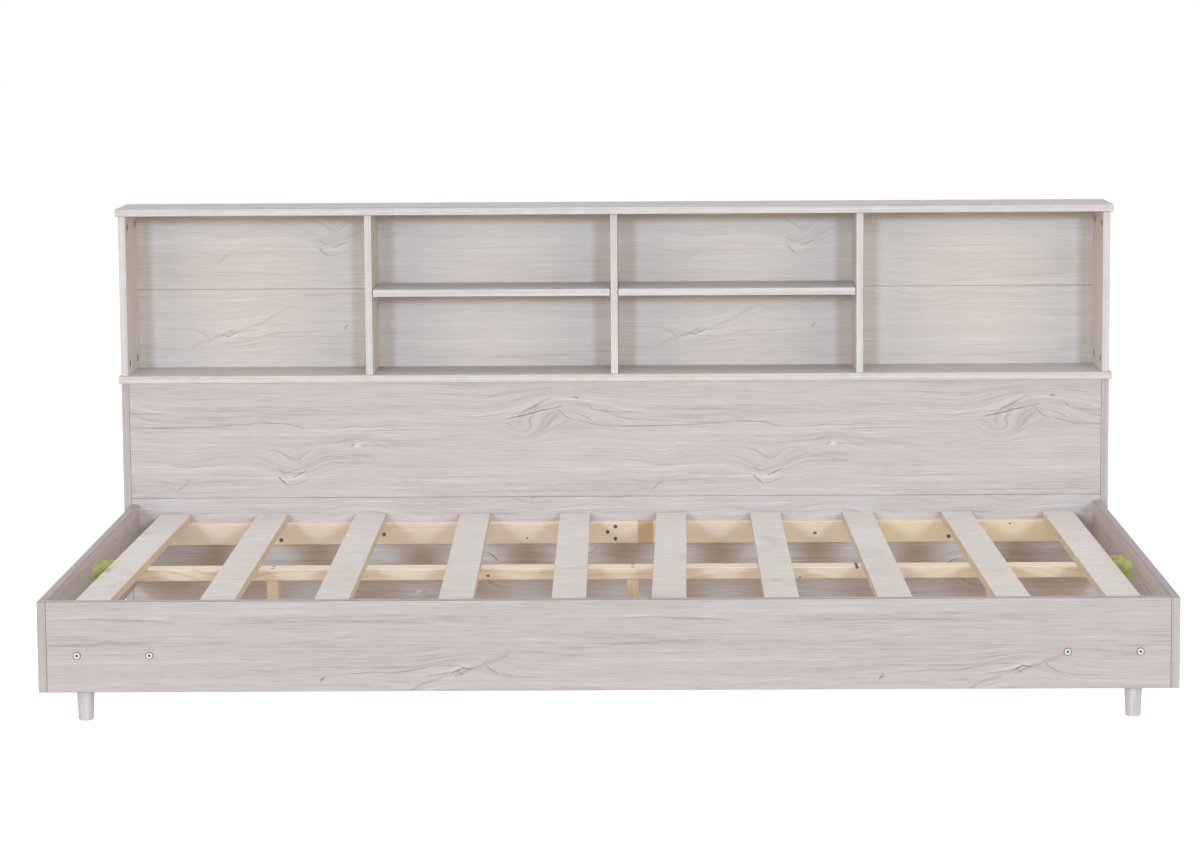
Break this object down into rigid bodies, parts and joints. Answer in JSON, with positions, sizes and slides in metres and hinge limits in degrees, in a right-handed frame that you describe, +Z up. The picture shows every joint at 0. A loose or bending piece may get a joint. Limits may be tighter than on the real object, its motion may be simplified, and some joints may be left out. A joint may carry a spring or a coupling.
{
  "type": "bookcase daybed",
  "caption": "Daybed with a slatted base set sideways against a shallow open bookcase that serves as its headboard, in printed whitewashed-oak board with pine ledgers.",
  "frame": {"origin": "on the floor, in the middle of the whole footprint", "axes": "+X along the bed and bookcase, to the right of someone who stands in front of the bed; +Y from the front rail to the bookcase; +Z up"},
  "size_m": [2.02, 1.175, 0.825],
  "materials": {
    "printed_board": "printed whitewashed-oak paper on chipboard, satin",
    "printed_back": "printed whitewashed-oak thin board, satin",
    "slat_plywood": "plywood with a printed top face and raw edges",
    "pine": "planed raw pine with knots",
    "washed_wood": "turned wood, whitewashed, satin",
    "turned_beech": "turned beech, raw",
    "yellow_zinc": "yellow-passivated zinc, satin",
    "bright_steel": "bright zinc plate",
    "dark_screw": "dark phosphated steel",
    "cam_zinc": "die-cast zinc"
  },
  "bodies": {
    "frame": {"top_board": "printed_board", "mid_shelf": "printed_board", "upper_side_left": "printed_board", "upper_side_right": "printed_board", "divider_left": "printed_board", "divider_centre": "printed_board", "divider_right": "printed_board", "lower_side_left": "printed_board", "lower_side_right": "printed_board", "headboard_lower": "printed_board", "headboard_upper": "printed_board", "upright_left": "printed_board", "upright_centre": "printed_board", "upright_right": "printed_board", "front_rail": "printed_board", "end_panel_left": "printed_board", "end_panel_right": "printed_board", "back_panel_lower": "printed_back", "back_panel_upper": "printed_back", "ledger_front": "pine", "ledger_rear": "pine", "centre_beam": "pine", "support_leg_left": "pine", "support_leg_centre": "pine", "support_leg_right": "pine", "corner_block_left": "pine", "corner_block_right": "pine", "foot_left": "washed_wood", "foot_right": "washed_wood", "dowels": "turned_beech", "beam_hanger_left": "yellow_zinc", "beam_hanger_right": "yellow_zinc", "hanger_screws": "yellow_zinc", "rail_bolts": "bright_steel", "end_bolts": "bright_steel", "barrel_nuts": "bright_steel", "foot_bolts": "bright_steel", "shelf_pins": "bright_steel", "cam_bolts": "bright_steel", "back_nails": "bright_steel", "beam_screws": "dark_screw", "ledger_screws": "dark_screw", "cam_locks": "cam_zinc"},
    "slat_01": {"slat_01": "slat_plywood"},
    "slat_02": {"slat_02": "slat_plywood"},
    "slat_03": {"slat_03": "slat_plywood"},
    "slat_04": {"slat_04": "slat_plywood"},
    "slat_05": {"slat_05": "slat_plywood"},
    "slat_06": {"slat_06": "slat_plywood"},
    "slat_07": {"slat_07": "slat_plywood"},
    "slat_08": {"slat_08": "slat_plywood"},
    "slat_09": {"slat_09": "slat_plywood"},
    "slat_10": {"slat_10": "slat_plywood"},
    "shelf_left": {"shelf_left": "printed_board"},
    "shelf_right": {"shelf_right": "printed_board"}
  },
  "joints": [
    {"name": "slat_01_lift", "type": "slide", "parent": "frame", "child": "slat_01", "axis": [0, 0, 1], "range_m": [0, 0.2]},
    {"name": "slat_02_lift", "type": "slide", "parent": "frame", "child": "slat_02", "axis": [0, 0, 1], "range_m": [0, 0.2]},
    {"name": "slat_03_lift", "type": "slide", "parent": "frame", "child": "slat_03", "axis": [0, 0, 1], "range_m": [0, 0.2]},
    {"name": "slat_04_lift", "type": "slide", "parent": "frame", "child": "slat_04", "axis": [0, 0, 1], "range_m": [0, 0.2]},
    {"name": "slat_05_lift", "type": "slide", "parent": "frame", "child": "slat_05", "axis": [0, 0, 1], "range_m": [0, 0.2]},
    {"name": "slat_06_lift", "type": "slide", "parent": "frame", "child": "slat_06", "axis": [0, 0, 1], "range_m": [0, 0.2]},
    {"name": "slat_07_lift", "type": "slide", "parent": "frame", "child": "slat_07", "axis": [0, 0, 1], "range_m": [0, 0.2]},
    {"name": "slat_08_lift", "type": "slide", "parent": "frame", "child": "slat_08", "axis": [0, 0, 1], "range_m": [0, 0.2]},
    {"name": "slat_09_lift", "type": "slide", "parent": "frame", "child": "slat_09", "axis": [0, 0, 1], "range_m": [0, 0.2]},
    {"name": "slat_10_lift", "type": "slide", "parent": "frame", "child": "slat_10", "axis": [0, 0, 1], "range_m": [0, 0.2]},
    {"name": "shelf_left_pull", "type": "slide", "parent": "frame", "child": "shelf_left", "axis": [0, -1, 0], "range_m": [0, 0.16]},
    {"name": "shelf_right_pull", "type": "slide", "parent": "frame", "child": "shelf_right", "axis": [0, -1, 0], "range_m": [0, 0.16]}
  ]
}
